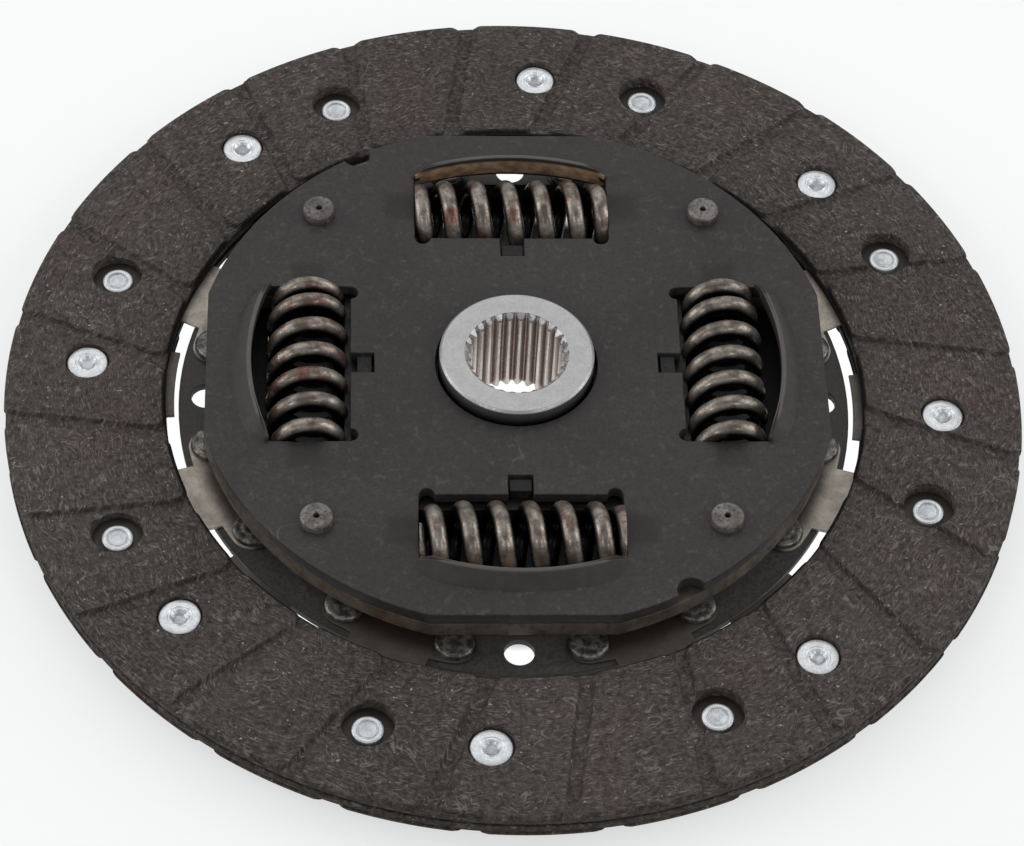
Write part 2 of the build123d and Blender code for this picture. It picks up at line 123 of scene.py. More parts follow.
class Finish:
    """A material with its Principled shader, and short calls that add nodes to its graph."""

    def __init__(self, name, metallic, roughness, specular):
        self.material = bpy.data.materials.new(name)
        self.material.use_nodes = True
        self.tree = self.material.node_tree
        self.shader = self.tree.nodes["Principled BSDF"]
        self.shader.inputs["Metallic"].default_value = metallic
        self.shader.inputs["Roughness"].default_value = roughness
        self.shader.inputs["Specular IOR Level"].default_value = specular
        self.place = self.add("ShaderNodeTexCoord").outputs["Object"]

    def add(self, kind, inputs=(), **settings):
        """Adds a node. Its inputs are linked where they are given as sockets, and else set."""
        node = self.tree.nodes.new(kind)
        for key, value in settings.items():
            setattr(node, key, value)
        for key, value in dict(inputs).items():
            if isinstance(value, bpy.types.NodeSocket):
                self.tree.links.new(value, node.inputs[key])
            else:
                node.inputs[key].default_value = value
        return node

    def paint(self, socket, value):
        self.tree.links.new(value, self.shader.inputs[socket])

    def math(self, operation, *values):
        return self.add("ShaderNodeMath", enumerate(values), operation=operation).outputs[0]

    def times(self, first, second):
        return self.math("MULTIPLY", first, second)

    def vector(self, operation, *values):
        return self.add("ShaderNodeVectorMath", enumerate(values), operation=operation).outputs[0]

    def mix(self, share, first, second):
        inputs = {0: share, 6: first, 7: second}
        return self.add("ShaderNodeMix", inputs, data_type="RGBA").outputs[2]

    def between(self, value, low, high, to_low=0.0, to_high=1.0):
        """Turns low to high, in the value, smoothly into to_low to to_high."""
        return self.add("ShaderNodeMapRange", {
            "Value": value, "From Min": low, "From Max": high, "To Min": to_low, "To Max": to_high,
        }, interpolation_type="SMOOTHSTEP").outputs[0]

    def axes(self):
        """The place's distances along X, Y and Z."""
        return self.add("ShaderNodeSeparateXYZ", {0: self.place}).outputs

    def flat(self):
        """The place without its height."""
        return self.vector("MULTIPLY", self.place, (1.0, 1.0, 0.0))

    def radius(self):
        """The distance from the hub's axis."""
        length = self.add("ShaderNodeVectorMath", {0: self.flat()}, operation="LENGTH")
        return length.outputs["Value"]

    def ring(self, low, high, to_low=0.0, to_high=1.0):
        """A share that changes between two radii, in millimetres."""
        return self.between(self.radius(), low * MM, high * MM, to_low, to_high)

    def noise(self, scale, detail=3.0, roughness=0.5, distortion=0.0, place=None):
        return self.add("ShaderNodeTexNoise", {
            "Vector": place or self.place, "Scale": scale, "Detail": detail,
            "Roughness": roughness, "Distortion": distortion,
        }).outputs[0]

    def wound(self, wavering, sway, shift=(0.0, 0.0, 0.0)):
        """Noise drawn out along circles round the hub's axis, like wound yarn. A second noise,
        which may be shifted, makes the circles waver by up to half the sway."""
        moved = self.vector("ADD", self.place, shift)
        swing = self.math("SUBTRACT", self.noise(wavering, 1.0, place=moved), 0.5)
        swing = self.times(swing, sway)
        lane = self.math("ADD", self.math("ADD", self.radius(), self.axes()[2]), swing)
        across = self.add("ShaderNodeCombineXYZ", {2: self.math("DIVIDE", lane, YARN_WIDTH)})
        along = self.vector("MULTIPLY", self.vector("NORMALIZE", self.flat()), [YARN_TURNS] * 3)
        return self.noise(1.0, 2.0, 0.6, 0.4, self.vector("ADD", along, across.outputs[0]))

    def thread(self, scale, width, distortion):
        """Thin curly lines: 1 on a line, where a noise passes its middle value, and 0 elsewhere."""
        field = self.noise(scale, 1.5, 0.5, distortion)
        off = self.math("ABSOLUTE", self.math("SUBTRACT", field, 0.5))
        return self.between(off, 0.0, width, 1.0, 0.0)

    def bump(self, height, distance, strength):
        normal = self.add("ShaderNodeBump", {
            "Height": height, "Distance": distance, "Strength": strength,
        }).outputs[0]
        self.paint("Normal", normal)


def colour(code):
    """A linear colour from its six-digit sRGB code."""
    parts = [int(code[i:i + 2], 16) / 255 for i in (0, 2, 4)]
    return [p / 12.92 if p <= 0.04045 else ((p + 0.055) / 1.055) ** 2.4 for p in parts] + [1.0]


def scaled(tone, factor):
    """A lighter or darker colour."""
    return [min(1.0, part * factor) for part in tone[:3]] + [1.0]


def friction_lining(name, base, worn_share):
    """Moulded friction material: dark resin with wound yarn in pale wisps and dark strands, loose
    curls, fine grit and a dark edge at the bore. Where it is worn, it is paler."""
    finish = Finish(name, 0.0, 0.75, 0.25)
    noise, between, mix = finish.noise, finish.between, finish.mix
    fibre = colour("8a827b")
    tone = mix(between(noise(22.0, 2.0), 0.35, 0.65), colour(base), scaled(colour(base), 1.35))
    rusty = between(noise(31.0, 2.0, 0.5, 0.8), 0.56, 0.74, 0.0, 0.3)
    tone = mix(rusty, tone, colour("523e3b"))
    mottle = noise(520.0, 4.0, 0.65)
    tone = mix(between(mottle, 0.3, 0.55, 0.7, 0.0), tone, colour("272320"))

    first = finish.wound(60.0, 7.0 * MM)
    second = finish.wound(85.0, 12.0 * MM, (0.3, 0.1, 0.2))
    choice = between(noise(90.0, 1.0), 0.42, 0.58)
    yarn = finish.add("ShaderNodeMix", {0: choice, 2: first, 3: second}).outputs[0]
    tone = mix(between(yarn, 0.34, 0.48, 0.45, 0.0), tone, colour("241f1d"))
    grain = between(noise(1000.0, 3.0, 0.7), 0.45, 0.65, 0.0, 0.4)
    tone = mix(grain, tone, colour("6f6661"))
    broken = between(noise(480.0, 3.0, 0.65), 0.4, 0.62, 0.2, 1.0)
    wisps = finish.times(between(yarn, 0.5, 0.66), broken)
    curls = finish.thread(150.0, 0.012, 1.0)
    curls = finish.times(curls, between(noise(110.0, 2.0), 0.52, 0.6))
    fibres = finish.math("MAXIMUM", wisps, curls)
    tone = mix(finish.times(fibres, 0.6), tone, fibre)

    grit = between(noise(1100.0, 1.0), 0.68, 0.78)
    grit = finish.times(grit, between(noise(140.0, 1.0), 0.4, 0.6))
    tone = mix(finish.times(grit, 0.8), tone, colour("aaa29a"))
    tone = mix(between(noise(330.0, 3.0, 0.6), 0.5, 0.7, 0.0, worn_share), tone, fibre)
    bore = finish.ring(FACING_BORE + 0.1, FACING_BORE + 0.8, 0.9, 0.0)
    finish.paint("Base Color", mix(bore, tone, colour("0f0d0c")))
    finish.paint("Roughness", between(mottle, 0.3, 0.7, 0.85, 0.65))
    height = finish.math("ADD", mottle, finish.times(fibres, 0.5))
    finish.bump(height, 0.25 * MM, 0.6)
    return finish.material


def dark_steel(name, base, pale, roughness, wear=0.0):
    """Blackened sheet steel with a satin oxide skin, mottled, and with faint handling marks where
    it is worn. Returns its Finish and its colour, which is still to be painted on."""
    finish = Finish(name, 0.0, roughness, 0.25)
    noise, between, mix = finish.noise, finish.between, finish.mix
    clouds = between(noise(30.0, 2.0, 0.5, 0.5), 0.3, 0.7)
    tone = mix(clouds, colour(base), colour(pale))
    fine = noise(1300.0, 3.0, 0.6)
    tone = mix(between(fine, 0.35, 0.6, 0.4, 0.0), tone, colour("1c1a19"))
    mottle = between(noise(520.0, 4.0, 0.7), 0.52, 0.78, 0.0, 0.45)
    tone = mix(mottle, tone, colour("65605c"))
    if wear:
        rubbed_and_lit = between(noise(300.0, 4.0, 0.7), 0.66, 0.82)
        tone = mix(finish.times(rubbed_and_lit, wear), tone, colour("8a8480"))
        marks = finish.thread(55.0, 0.0035, 0.3)
        marks = finish.times(marks, between(noise(70.0), 0.56, 0.66))
        tone = mix(finish.times(marks, wear), tone, colour("77716d"))
    finish.paint("Roughness", between(fine, 0.3, 0.7, roughness - 0.08, roughness + 0.12))
    height = finish.math("ADD", fine, finish.times(clouds, 0.4))
    finish.bump(height, 0.04 * MM, 0.3)
    return finish, tone


def bright_steel(name, base, dull, metallic, roughness, grain, speckle, rust="", rust_share=0.0):
    """Bare or plated steel: grainy, with darker pits and, where named, stains of rust. Returns its
    Finish and its colour, which is still to be painted on."""
    finish = Finish(name, metallic, roughness, 0.5)
    noise, between, mix = finish.noise, finish.between, finish.mix
    clouds = between(noise(grain * 0.22, 2.0), 0.35, 0.65)
    tone = mix(clouds, colour(dull), colour(base))
    pits = noise(grain, 3.0, 0.65)
    tone = mix(between(pits, 0.3, 0.52, speckle, 0.0), tone, scaled(colour(dull), 0.35))
    if rust:
        stains = between(noise(110.0, 4.0, 0.6, 0.8), 0.5, 0.68, 0.0, rust_share)
        tone = mix(stains, tone, colour(rust))
    finish.paint("Roughness", between(pits, 0.3, 0.7, roughness + 0.15, roughness - 0.08))
    finish.bump(pits, 0.1 * MM, 0.4)
    return finish, tone


def painted(made, shade="", depth=0.0):
    """Paints a colour on and returns the material. A shade darkens the hollows that add_turned
    records, most where they are as deep as depth, in millimetres."""
    finish, tone = made
    if shade:
        hollow = finish.add("ShaderNodeAttribute", attribute_name="hollow").outputs["Fac"]
        spots = finish.between(finish.noise(450.0, 2.0), 0.38, 0.6, 0.35, 1.0)
        share = finish.times(finish.between(hollow, 0.02, depth, 0.0, 0.9), spots)
        tone = finish.mix(share, tone, colour(shade))
    finish.paint("Base Color", tone)
    return finish.material


BARE_WALL_SPAN = 21.9  # each side of the Y axis: the windows along Y, whose walls are seen
WALL_REACH = 2.5  # inside WINDOW_OUTER: more than the lips lean in


def cover_steel():
    """The cover: a satin skin, darker patches over the recesses beside the windows, bare
    sheared walls in the windows along Y, and lips with a painted highlight along their ridge."""
    finish, tone = dark_steel("cover_steel", "393534", "3f3b3a", 0.42, 0.3)
    mix, between, times = finish.mix, finish.between, finish.times
    radius = finish.radius()
    sides = finish.axes()
    across, along = (finish.math("ABSOLUTE", side) for side in sides[:2])
    height = sides[2]

    def off_span(value, middle, half_width):
        off = finish.math("ABSOLUTE", finish.math("SUBTRACT", value, middle * MM))
        return finish.math("SUBTRACT", off, half_width * MM)

    patches = []
    for first, second in ((across, along), (along, across)):
        off_end = off_span(first, WINDOW_HALF_LENGTH + RECESS_HALF_LENGTH, RECESS_HALF_LENGTH)
        off_side = off_span(second, SPRING_CIRCLE, RECESS_HALF_WIDTH)
        patches.append(finish.math("MAXIMUM", off_end, off_side))
    patch = finish.math("MINIMUM", *patches)
    tone = mix(between(patch, -1.6 * MM, 0.9 * MM, 0.45, 0.0), tone, colour("221f1c"))

    upright = finish.math("SUBTRACT", height, COVER_BOTTOM * MM)
    upright = finish.math("MULTIPLY_ADD", upright, LIP_LEAN, radius)
    wall = between(upright, (WINDOW_OUTER + 0.25) * MM, (WINDOW_OUTER + 0.3) * MM, 1.0, 0.0)
    wall = times(wall, finish.math("GREATER_THAN", radius, (WINDOW_OUTER - WALL_REACH) * MM))
    wall = times(wall, finish.math("LESS_THAN", across, BARE_WALL_SPAN * MM))
    low = between(height, (COVER_TOP + 1.6) * MM, (COVER_TOP + 2.4) * MM, 1.0, 0.0)
    grain = between(finish.noise(420.0, 3.0), 0.3, 0.7)
    lip = between(height, (COVER_TOP + 0.05) * MM, (COVER_TOP + 0.5) * MM)
    tone = mix(lip, tone, mix(grain, colour("3a3635"), colour("413d3b")))
    tone = mix(times(wall, low), tone, mix(grain, colour("8c7059"), colour("c2a283")))
    # Painted highlight: a paler line along the lips' ridge.
    ridge_highlight = between(height, (COVER_TOP + 2.9) * MM, (COVER_TOP + 3.2) * MM, 0.0, 0.4)
    finish.paint("Base Color", mix(ridge_highlight, tone, colour("7b7774")))
    return finish.material


def plate_steel():
    """The drive plate: a dark grey rim, and a black middle, a painted shade under the cover."""
    finish, tone = dark_steel("plate_steel", "474441", "4f4c48", 0.5, 0.2)
    # Painted shade under the cover: black within 63.5 mm, fading out by 66 mm.
    return painted((finish, finish.mix(finish.ring(63.5, 66.0, 1.0, 0.0), tone, colour("0e0d0c"))))


def flange_steel():
    """The hub's flange: brown at its rim, and black further in as painted shade under the springs.
    """
    finish, tone = bright_steel(
        "flange_steel", "61564a", "463d35", 0.1, 0.5, 500.0, 0.6, "45291d", 0.55,
    )
    # Painted shade under the springs: black within 56 mm, fading out by 59 mm.
    return painted((finish, finish.mix(finish.ring(56.0, 59.0, 0.95, 0.0), tone, colour("100d0b"))))


def cushion_steel():
    """Spring steel: bright at the necks, brown at the feet and black inside them, and dark under
    the facings, on the lobes between the necks and towards -Y, as the photograph shows."""
    finish, tone = bright_steel(
        "cushion_steel", "cfc5b8", "b5ab9e", 0.25, 0.42, 1400.0, 0.25, "94806a", 0.2,
    )
    # Painted shade from the cover: brown at the feet and black inside them. The third stop darkens
    # the steel under the facings.
    for low, high, to_low, to_high, code in (
        (70.5, 75.0, 0.9, 0.0, "2f2620"),
        (66.0, 67.0, 1.0, 0.0, "0c0a09"),
        (80.0, 84.0, 0.0, 0.95, "211e1c"),
    ):
        tone = finish.mix(finish.ring(low, high, to_low, to_high), tone, colour(code))
    east, north, _ = finish.axes()
    first_neck = -SEGMENT_COUNT * math.radians(NECK_ANGLE)
    turn = finish.math("ARCTAN2", north, east)
    turn = finish.math("MULTIPLY_ADD", turn, float(SEGMENT_COUNT), first_neck)
    lobe = finish.between(finish.math("COSINE", turn), -0.1, 0.2, 1.0, 0.0)
    lobe = finish.times(lobe, finish.ring(75.5, 76.5, 0.0, 0.9))
    tone = finish.mix(lobe, tone, colour("4b4541"))
    # Painted shadow: the segments are darker towards -Y.
    northing = finish.math("DIVIDE", north, finish.radius())
    shaded = finish.between(northing, -0.74, -0.6, 0.85, 0.0)
    return painted((finish, finish.mix(shaded, tone, colour("2e2621"))))


TURNING_MARKS = 26000.0  # radians of their wave in a metre


def hub_steel():
    """Turned steel: a clean bright end with faint turning marks, a dark outside in painted shade,
    deepest low down by the cover, and a brownish bore, with its splines' tips worn pale."""
    finish, tone = bright_steel("hub_steel", "bcbbbb", "b4b3b3", 0.7, 0.33, 1500.0, 0.08)
    mix, between, times = finish.mix, finish.between, finish.times
    height = finish.axes()[2]
    turning = finish.math("SINE", times(finish.radius(), TURNING_MARKS))
    tone = mix(between(turning, -1.0, 1.0, 0.0, 0.1), tone, colour("8f8e8e"))
    below = between(height, (HUB_TOP - 1.6) * MM, (HUB_TOP - 1.2) * MM, 1.0, 0.0)
    stretched = finish.add("ShaderNodeMapping", {
        "Vector": finish.place, "Scale": (900.0, 900.0, 60.0),
    }).outputs[0]
    streaks = between(finish.noise(1.0, 3.0, 0.6, place=stretched), 0.35, 0.65)
    tips = mix(streaks, colour("c4bab5"), colour("e6e0dc"))
    bore = mix(finish.ring(10.3, 11.1), tips, colour("9c8b83"))
    tone = mix(times(finish.ring(11.7, 11.9, 1.0, 0.0), below), tone, bore)
    # Painted shade on the hub's outside, strongest low down by the cover.
    shade = between(height, (COVER_TOP - 1.0) * MM, (HUB_TOP - 0.4) * MM, 1.0, 0.55)
    return painted((finish, mix(times(finish.ring(17.1, 17.25), shade), tone, colour("1f1c1a"))))


def spring_steel():
    """Spring wire, grey-brown, with painted shade that turns it black inside the coils and on
    their lower side, and traces of red paint in patches, more of them towards -X and fewer towards
    +X."""
    finish, tone = bright_steel("spring_steel", "a0968c", "6b625a", 0.65, 0.27, 1500.0, 0.5)
    east = finish.axes()[0]
    more = finish.between(east, -40.0 * MM, -25.0 * MM, 0.26, 0.0)
    fewer = finish.between(east, 12.0 * MM, 18.0 * MM, 0.0, 0.12)
    patches = finish.math("ADD", finish.noise(28.0, 1.0), more)
    patches = finish.between(finish.math("SUBTRACT", patches, fewer), 0.46, 0.58)
    traces = finish.between(finish.noise(150.0, 4.0, 0.65, 0.5), 0.5, 0.64, 0.0, 0.75)
    tone = finish.mix(finish.times(traces, patches), tone, colour("683a30"))
    # Painted shade: the wire turns black inside the coils and on their lower side.
    rubbed_and_lit = finish.add("ShaderNodeAttribute", attribute_name="rubbed_and_lit").outputs["Fac"]
    coil_shade = finish.between(rubbed_and_lit, 0.1, 0.75, 1.0, 0.0)
    return painted((finish, finish.mix(coil_shade, tone, colour("0c0b0a"))))


# The bright steels of the pins and rivets: metallic, roughness, grain and speckle at the end.
PIN_STEEL = ("pin_steel", "827d79", "5e5956", 0.35, 0.42, 1500.0, 0.9)
FOOT_RIVET_STEEL = ("foot_rivet_steel", "8f8b85", "4a4744", 0.5, 0.3, 2700.0, 1.0)
FACING_RIVET_STEEL = ("facing_rivet_steel", "f0f2f3", "dde0e2", 0.6, 0.28, 2500.0, 0.35)

looks = {
    "friction_lining": friction_lining("friction_lining", "3b3633", 0.0),
    "plate_steel": plate_steel(),
    "cover_steel": cover_steel(),
    "flange_steel": flange_steel(),
    "hub_steel": hub_steel(),
    "pin_steel": painted(bright_steel(*PIN_STEEL), "1d1a18", 0.5),
    "foot_rivet_steel": painted(bright_steel(*FOOT_RIVET_STEEL), "3d3a37", 0.4),
    "facing_rivet_steel": painted(bright_steel(*FACING_RIVET_STEEL), "9b9ea0", 0.9),
    "friction_plastic": painted(dark_steel("friction_plastic", "1d1b1a", "262423", 0.55)),
    "spring_steel": spring_steel(),
    "cushion_steel": cushion_steel(),
}
# The pads' walls take a darker lining: painted shade in the grooves, with paler worn spots.
groove_shade_lining = friction_lining("friction_lining_groove_shade", "302b29", 0.25)


# ------------------------ stage

LAMPS = (  # name, place in metres, side in metres, watts
    ("back", (-0.1, 0.75, 1.0), 1.3, 3.4),
    ("left", (-0.95, 0.15, 0.55), 0.8, 3.4),
    ("right", (0.95, 0.1, 0.55), 0.8, 3.4),
    ("front_left", (-0.62, -0.7, 0.85), 0.3, 0.9),
    ("front_right", (0.62, -0.7, 0.85), 0.3, 0.9),
)
FLOOR_REACH = 6.0  # metres each way
FLOOR_CORNERS = ((-1, -1), (1, -1), (1, 1), (-1, 1))
FLOOR_TINT = (0.985, 1.0, 0.993, 1.0)
# The floor's own light by distance from the hub's axis: full where it shows through the bore and
# the outer gaps, none below the springs, and less round the part, where the lamps light it too.
FLOOR_RAMP_LENGTH = 0.2  # metres that the ramp's positions, from 0 to 1, stand for
FLOOR_LIGHT = ((0.07, 1.0), (0.1, 0.0), (0.3, 0.0), (0.32, 1.0), (0.42, 1.0), (0.45, 0.62))


def floor_look():
    finish = Finish("floor", 0.0, 1.0, 0.0)
    finish.shader.inputs["Base Color"].default_value = (0.4, 0.4, 0.4, 1.0)
    finish.shader.inputs["Emission Color"].default_value = FLOOR_TINT
    place = finish.times(finish.radius(), 1 / FLOOR_RAMP_LENGTH)
    light = finish.add("ShaderNodeValToRGB", {0: place})
    stops = light.color_ramp.elements
    for position, _ in FLOOR_LIGHT[1:-1]:
        stops.new(position)
    for stop, (position, level) in zip(stops, FLOOR_LIGHT):
        stop.position, stop.color = position, (level, level, level, 1.0)
    ray = finish.add("ShaderNodeLightPath").outputs
    seen = finish.math("MAXIMUM", ray["Is Camera Ray"], ray["Is Glossy Ray"])
    finish.paint("Emission Strength", finish.times(seen, light.outputs[0]))
    return finish.material


def add_stage():
    scene = bpy.context.scene
    scene.view_settings.view_transform = "Standard"
    scene.world = bpy.data.worlds.new("studio")
    scene.world.use_nodes = True
    background = scene.world.node_tree.nodes["Background"]
    background.inputs["Color"].default_value = (0.96, 0.98, 1.0, 1.0)
    background.inputs["Strength"].default_value = 0.4

    for name, place, size, watts in LAMPS:
        lamp = bpy.data.lights.new(name, "AREA")
        lamp.size = size
        lamp.energy = watts
        light = bpy.data.objects.new(name, lamp)
        scene.collection.objects.link(light)
        light.location = place
        light.rotation_euler = (-Vector(place)).to_track_quat("-Z", "Y").to_euler()

    mesh = bpy.data.meshes.new("floor")
    corners = [(x * FLOOR_REACH, y * FLOOR_REACH, 0) for x, y in FLOOR_CORNERS]
    mesh.from_pydata(corners, [], [(0, 1, 2, 3)])
    mesh.materials.append(floor_look())
    floor = bpy.data.objects.new("floor", mesh)
    scene.collection.objects.link(floor)


# ------------------------ pieces

SMOOTH_ANGLE = 35.0  # degrees: flatter edges are shaded as smooth
slots = {part["node"]: part["material_slot"] for part in frame["record"]["subparts"]}


def add_piece(name, shape, node, smooth_angle=SMOOTH_ANGLE):
    """Turns a bmesh into a piece that stands for a CAD node and takes its body and slot."""
    mesh = bpy.data.meshes.new(name)
    shape.to_mesh(mesh)
    shape.free()
    mesh.shade_smooth()
    mesh.set_sharp_from_angle(angle=math.radians(smooth_angle))
    piece = bpy.data.objects.new(name, mesh)
    bpy.context.scene.collection.objects.link(piece)
    mesh.materials.append(looks[slots[node]])
    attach(piece, frame["nodes"][node]["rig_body"])
    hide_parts(node)
    return piece


def apply_modifiers(piece):
    """Puts the result of a piece's modifiers into its mesh."""
    depsgraph = bpy.context.evaluated_depsgraph_get()
    mesh = bpy.data.meshes.new_from_object(piece.evaluated_get(depsgraph))
    piece.modifiers.clear()
    old = piece.data
    piece.data = mesh
    bpy.data.meshes.remove(old)
    mesh.name = piece.name


def node_box(node):
    """A CAD node's lowest and highest corners, in millimetres."""
    low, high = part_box(node)
    return low / MM, high / MM


def direction(turn):
    """A flat unit vector, at a turn from X in radians."""
    return Vector((math.cos(turn), math.sin(turn)))


def segment_angles(first):
    """An angle on the first cushion segment, and the same place on each of the others."""
    return [first + SEGMENT_STEP * number for number in range(SEGMENT_COUNT)]


def eased(share):
    """A share from 0 to 1 that starts and ends slowly."""
    return share * share * (3 - 2 * share)


# ------------------------ refined CAD nodes

# In millimetres and degrees, apart from WELD.
WELD = 0.002 * MM
FLAT_ANGLE = 0.2  # faces within it become one
BEVEL_ANGLE = 30.0  # sharper edges are rounded
BEVEL_SEGMENTS = 2
SAME_PLACE = 0.1  # within which a vertex counts as being on an edge

LIP_HALF_ANGLE = 22.1
LIP_END_ANGLE = 5.0  # over which a lip runs down
LIP_END_DROP = 0.55  # at its very end, as a share of the height
LIP_END_PULL = 2.7  # of its outer foot, inwards, at its very end
LIP_FOOT_SPREAD = -0.2  # of its outer foot, all along
LIP_LOWERING = 0.3
LIP_BOTTOM = 0.5  # over the cover's top: the vertices above it lean and drop
RECESS_SLOPE = 1.3  # how far a recess's floor draws in
RECESS_START = 20.0  # along a window: both ends of a recess lie past it
RECESS_MIDDLE = 25.0  # only its far end lies past it, and draws in too
PLATE_WINDOW_EDGES = (5.0, 9.1)  # the least and most that they lie off the springs' circle
SPRING_SWING = 1.4  # room beside the springs at the twist's limits


def add_refined(node, width, reshape=None):
    """A copy of a CAD node with whole flat faces and with edges rounded over a width."""
    shape = bmesh.new()
    shape.from_mesh(frame["nodes"][node].data)
    bmesh.ops.remove_doubles(shape, verts=shape.verts, dist=WELD)
    bmesh.ops.dissolve_limit(
        shape, angle_limit=math.radians(FLAT_ANGLE), verts=shape.verts, edges=shape.edges,
    )
    if reshape:
        reshape(shape)
    piece = add_piece(node + "_finished", shape, node)
    bevel = piece.modifiers.new("edges", "BEVEL")
    bevel.width = width * MM
    bevel.segments = BEVEL_SEGMENTS
    bevel.limit_method = "ANGLE"
    bevel.angle_limit = math.radians(BEVEL_ANGLE)
    bevel.use_clamp_overlap = False
    weighted = piece.modifiers.new("normals", "WEIGHTED_NORMAL")
    weighted.keep_sharp = False
    apply_modifiers(piece)


def lip_share(along, out):
    """0 at a lip's end, and 1 from a few degrees inside it."""
    inside = (LIP_HALF_ANGLE - math.degrees(math.atan2(along, out))) / LIP_END_ANGLE
    inside = min(1.0, max(0.0, inside))
    return inside * (2 - inside)


def scale_flat(vertex, factor):
    vertex.co.x *= factor
    vertex.co.y *= factor


def soften_cover(shape):
    """Slopes the walls of the recesses. Leans the lips inwards, lowers them and lets them run down
    at their ends, where their outer feet come in with them."""
    for vertex in shape.verts:
        place = vertex.co / MM
        radius = math.hypot(place.x, place.y)
        along, out = sorted((abs(place.x), abs(place.y)))
        above = place.z - COVER_TOP
        in_recess = abs(above + RECESS_DEPTH) < 0.01 and along > RECESS_START
        off_foot = abs(radius - WINDOW_OUTER - LIP_FOOT)
        if in_recess:
            out += -RECESS_SLOPE if out > SPRING_CIRCLE else RECESS_SLOPE
            if along > RECESS_MIDDLE:
                along -= RECESS_SLOPE
            x, y = (along, out) if abs(place.x) < abs(place.y) else (out, along)
            vertex.co.x = math.copysign(x * MM, place.x)
            vertex.co.y = math.copysign(y * MM, place.y)
        elif along < out and abs(above) < 0.01 and off_foot < 0.06:
            spread = LIP_FOOT_SPREAD - LIP_END_PULL * (1 - lip_share(along, out))
            scale_flat(vertex, (radius + spread) / radius)
        elif above > LIP_BOTTOM:
            drop = above * LIP_END_DROP * (1 - lip_share(along, out))
            vertex.co.z -= (LIP_LOWERING + drop) * MM
            pull = LIP_LEAN * (place.z - COVER_BOTTOM)
            scale_flat(vertex, (radius - pull) / radius)


def move_out(vertex, distance):
    """Moves a vertex away from the hub's axis along X or Y, whichever it lies nearer to."""
    if abs(vertex.co.x) > abs(vertex.co.y):
        vertex.co.x += math.copysign(distance * MM, vertex.co.x)
    else:
        vertex.co.y += math.copysign(distance * MM, vertex.co.y)


def widen_plate_windows(shape):
    """Moves the drive plate's window edges away from the springs, which swing a little in them."""
    for vertex in shape.verts:
        along, out = sorted((abs(vertex.co.x) / MM, abs(vertex.co.y) / MM))
        off = out - SPRING_CIRCLE
        nearest, furthest = PLATE_WINDOW_EDGES
        if along < WINDOW_HALF_LENGTH + SAME_PLACE and nearest < abs(off) < furthest:
            move_out(vertex, math.copysign(SPRING_SWING, off))


def widen_flange_windows(shape):
    """Moves the inner edges of the flange's windows towards the hub, as in the drive plate."""
    for vertex in shape.verts:
        along, out = sorted((abs(vertex.co.x) / MM, abs(vertex.co.y) / MM))
        on_edge = abs(out - WINDOW_INNER) < SAME_PLACE
        if on_edge and along < WINDOW_HALF_LENGTH + SAME_PLACE:
            move_out(vertex, -SPRING_SWING)


# ------------------------ rivets and pins

# Their heights come from their CAD nodes.
HOLLOW_REACH = 2.3  # the radius inside which a hollow's depth is recorded
OUTLINE_WAVES = (2, 3, 5, 8)  # round an outline
RIVET_STEPS = 40
PIN_STEPS = 56
FOOT_RIVET_CIRCLE = 69.33
PIN_CIRCLE = 62.43
GEARBOX_RIVET_ANGLE = 40.5
ENGINE_RIVET_ANGLE = 24.8
FOOT_ANGLES = (11.6, 32.8)
PIN_ANGLES = (45, 135, 225, 315)
# Radii, with heights over a tail's end or depths below a head's top.
FACING_RIVET_TAIL = (
    (0, 0.5), (1.2, 0.46), (1.85, 0.3), (2.05, 0.5), (2.2, 0.5), (2.4, 0.15), (2.75, 0),
    (3.1, 0.03), (3.38, 0.2), (3.5, 0.5), (3.5, 0.95), (2.5, 0.95),
)
FACING_RIVET_HEAD = (
    (2.5, 0.95), (4.4, 0.95), (4.55, 0.8), (4.55, 0.32), (4.45, 0.12), (4.2, 0), (2.75, 0),
    (2.55, 0.2), (2.25, 0.2), (2.05, 0.02), (1.95, 0.1), (1.6, 0.6), (1.0, 0.85), (0, 0.92),
)
FOOT_RIVET_TAIL = (
    (0, 0.5), (1.2, 0.4), (1.5, 0.05), (3.2, 0), (3.6, 0.35), (3.6, 1.5), (2.5, 1.5),
)
FOOT_RIVET_HEAD = (
    (2.5, 1.5), (4.2, 1.5), (4.35, 1.35), (4.35, 0.7), (4.2, 0.4), (3.8, 0.18), (3.2, 0.08),
    (2.7, 0.2), (2.4, 0.2), (2.0, 0.05), (1.5, 0), (1.1, 0.15), (0.6, 0.3), (0, 0.33),
)


